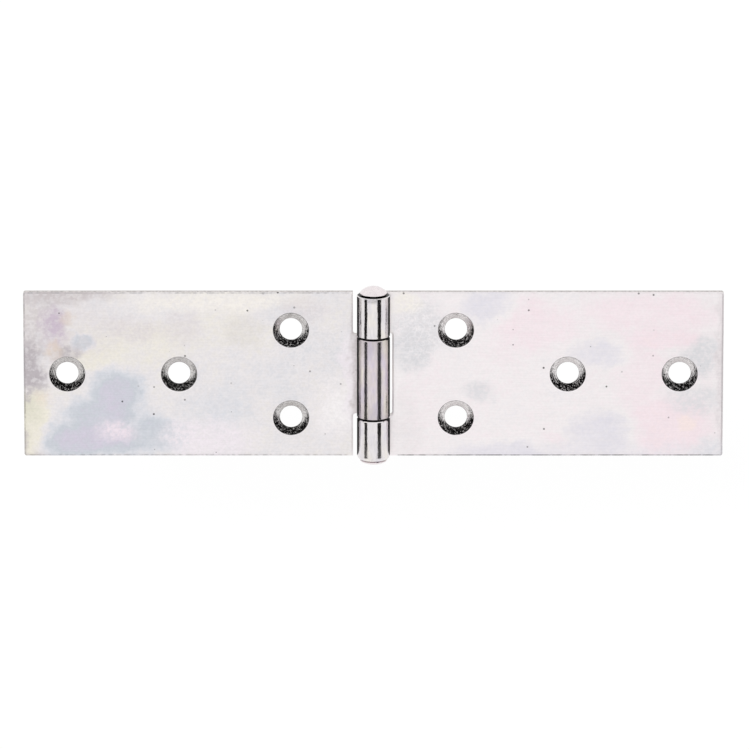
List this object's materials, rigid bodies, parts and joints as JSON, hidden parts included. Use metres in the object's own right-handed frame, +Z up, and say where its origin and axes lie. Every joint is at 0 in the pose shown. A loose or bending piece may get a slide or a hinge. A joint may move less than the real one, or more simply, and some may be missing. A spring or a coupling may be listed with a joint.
{
  "type": "table hinge",
  "caption": "Long flat table hinge of zinc-plated sheet steel: two countersunk leaves rolled into knuckles around a riveted pin, folding face to face.",
  "frame": {"origin": "in the plane of the leaves' back faces, under the pin's axis and halfway along the leaves' height", "axes": "+X across the open leaves towards the leaf with two knuckles, +Y along the pin towards its domed head, +Z up from the back faces to the countersunk fronts"},
  "size_m": [0.14, 0.0369, 0.0066],
  "materials": {
    "leaf_zinc": "bright zinc plate with a clear passivation that shows pale pink, lavender and yellow clouds",
    "pin_zinc": "bright zinc plate over riveted ends"
  },
  "bodies": {
    "right_leaf": {"right_leaf": "leaf_zinc", "hinge_pin": "pin_zinc"},
    "left_leaf": {"left_leaf": "leaf_zinc"}
  },
  "joints": [
    {"name": "leaf_fold", "type": "hinge", "parent": "right_leaf", "child": "left_leaf", "pos_m": [0, 0, 0.0033], "axis": [0, 1, 0], "range_deg": [-95, 180]}
  ]
}
